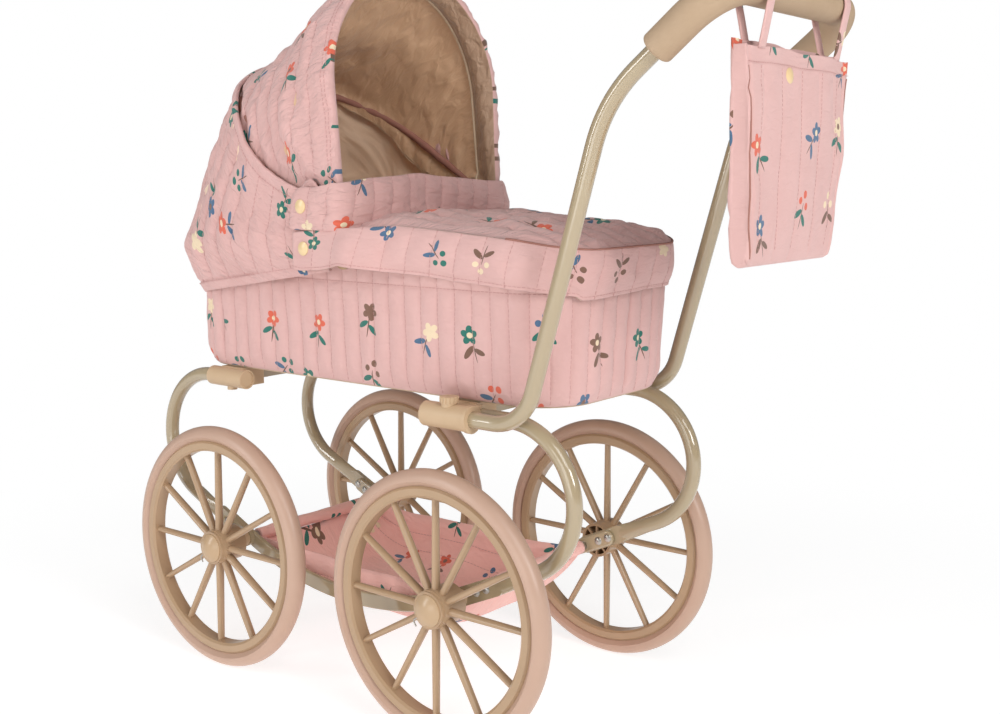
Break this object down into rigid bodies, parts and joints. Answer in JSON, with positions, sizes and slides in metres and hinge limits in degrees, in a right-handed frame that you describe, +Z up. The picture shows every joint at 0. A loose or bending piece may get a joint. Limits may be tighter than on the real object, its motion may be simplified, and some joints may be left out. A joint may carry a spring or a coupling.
{
  "type": "doll stroller",
  "caption": "Doll pram with large spoked wheels on a bent tube chassis, a quilted bassinet with a folding hood and cover, a sling basket, and a hanging bag on its push handle.",
  "frame": {"origin": "on the floor, under the middle of the pram's overall length and width", "axes": "+Z up, +X towards the push handle, -Y the left side of whoever pushes"},
  "size_m": [0.6844, 0.3024, 0.6889],
  "materials": {
    "wheel_plastic": "semi-matt beige moulding",
    "tyre": "matt pinkish tan foam rubber",
    "cap_plastic": "glossy beige",
    "steel": "bright steel",
    "painted_tube": "gloss khaki beige paint",
    "connector_plastic": "satin beige moulding",
    "grip_foam": "matt tan foam",
    "board": "pale fibreboard",
    "quilted_fabric": "printed dusty pink cotton",
    "lining_fabric": "tan satin lining",
    "basket_fabric": "plain deeper pink cotton",
    "bag_fabric": "printed dusty pink cotton",
    "bow_wire": "steel wire",
    "snap": "cream gold press stud"
  },
  "bodies": {
    "chassis": {"frame_tube_front_left": "painted_tube", "connector_front_left": "connector_plastic", "frame_tube_front_right": "painted_tube", "connector_front_right": "connector_plastic", "frame_tube_rear_left": "painted_tube", "connector_rear_left": "connector_plastic", "frame_tube_rear_right": "painted_tube", "connector_rear_right": "connector_plastic", "axle_front": "steel", "cross_bar_front": "painted_tube", "axle_rear": "steel", "cross_bar_rear": "painted_tube", "lower_rail_left": "painted_tube", "hood_stud_left": "connector_plastic", "lower_rail_right": "painted_tube", "hood_stud_right": "connector_plastic", "axle_spacers": "connector_plastic", "frame_rivets": "steel", "handle_tube": "painted_tube", "handle_grip": "grip_foam", "base_board": "board", "board_screws": "steel", "bassinet": "quilted_fabric", "mattress": "lining_fabric", "apron": "quilted_fabric", "wind_flap": "quilted_fabric", "hood_rear_panel": "quilted_fabric", "basket": "basket_fabric", "flap_snaps": "snap", "apron_snaps": "snap"},
    "wheel_body_front_left": {"wheel_front_left": "wheel_plastic", "tyre_front_left": "tyre", "hub_cap_front_left": "cap_plastic", "axle_clip_front_left": "steel"},
    "wheel_body_front_right": {"wheel_front_right": "wheel_plastic", "tyre_front_right": "tyre", "hub_cap_front_right": "cap_plastic", "axle_clip_front_right": "steel"},
    "wheel_body_rear_left": {"wheel_rear_left": "wheel_plastic", "tyre_rear_left": "tyre", "hub_cap_rear_left": "cap_plastic", "axle_clip_rear_left": "steel"},
    "wheel_body_rear_right": {"wheel_rear_right": "wheel_plastic", "tyre_rear_right": "tyre", "hub_cap_rear_right": "cap_plastic", "axle_clip_rear_right": "steel"},
    "knob_left": {"clamp_knob_left": "connector_plastic"},
    "knob_right": {"clamp_knob_right": "connector_plastic"},
    "hood_middle": {"middle_bow": "bow_wire", "hood_front_panel": "quilted_fabric"},
    "hood_front": {"front_bow": "bow_wire"},
    "bag_body": {"bag": "bag_fabric", "bag_straps": "bag_fabric", "bag_snap": "snap"}
  },
  "joints": [
    {"name": "wheel_spin_front_left", "type": "hinge", "parent": "chassis", "child": "wheel_body_front_left", "pos_m": [-0.2162, -0.1335, 0.12], "axis": [0, 1, 0], "continuous": true},
    {"name": "wheel_spin_front_right", "type": "hinge", "parent": "chassis", "child": "wheel_body_front_right", "pos_m": [-0.2162, 0.1335, 0.12], "axis": [0, 1, 0], "continuous": true},
    {"name": "wheel_spin_rear_left", "type": "hinge", "parent": "chassis", "child": "wheel_body_rear_left", "pos_m": [0.0698, -0.1335, 0.12], "axis": [0, 1, 0], "continuous": true},
    {"name": "wheel_spin_rear_right", "type": "hinge", "parent": "chassis", "child": "wheel_body_rear_right", "pos_m": [0.0698, 0.1335, 0.12], "axis": [0, 1, 0], "continuous": true},
    {"name": "knob_turn_left", "type": "hinge", "parent": "chassis", "child": "knob_left", "pos_m": [0.0698, -0.115, 0.298], "axis": [0, 0, 1], "range_deg": [0, 720]},
    {"name": "knob_turn_right", "type": "hinge", "parent": "chassis", "child": "knob_right", "pos_m": [0.0698, 0.115, 0.298], "axis": [0, 0, 1], "range_deg": [0, 720]},
    {"name": "hood_fold", "type": "hinge", "parent": "chassis", "child": "hood_middle", "pos_m": [-0.0652, 0, 0.463], "axis": [0, -1, 0], "range_deg": [0, 33], "deforming": ["hood_rear_panel"]},
    {"name": "hood_front_fold", "type": "hinge", "parent": "hood_middle", "child": "hood_front", "pos_m": [-0.0652, 0, 0.463], "axis": [0, -1, 0], "range_deg": [0, 48], "deforming": ["hood_front_panel"]},
    {"name": "bag_swing", "type": "hinge", "parent": "chassis", "child": "bag_body", "pos_m": [0.3268, 0, 0.627], "axis": [0, -1, 0], "range_deg": [-15, 60]}
  ],
  "couplings": [
    {"joint": "hood_front_fold", "follows": "hood_fold", "ratio": 1.4544}
  ]
}
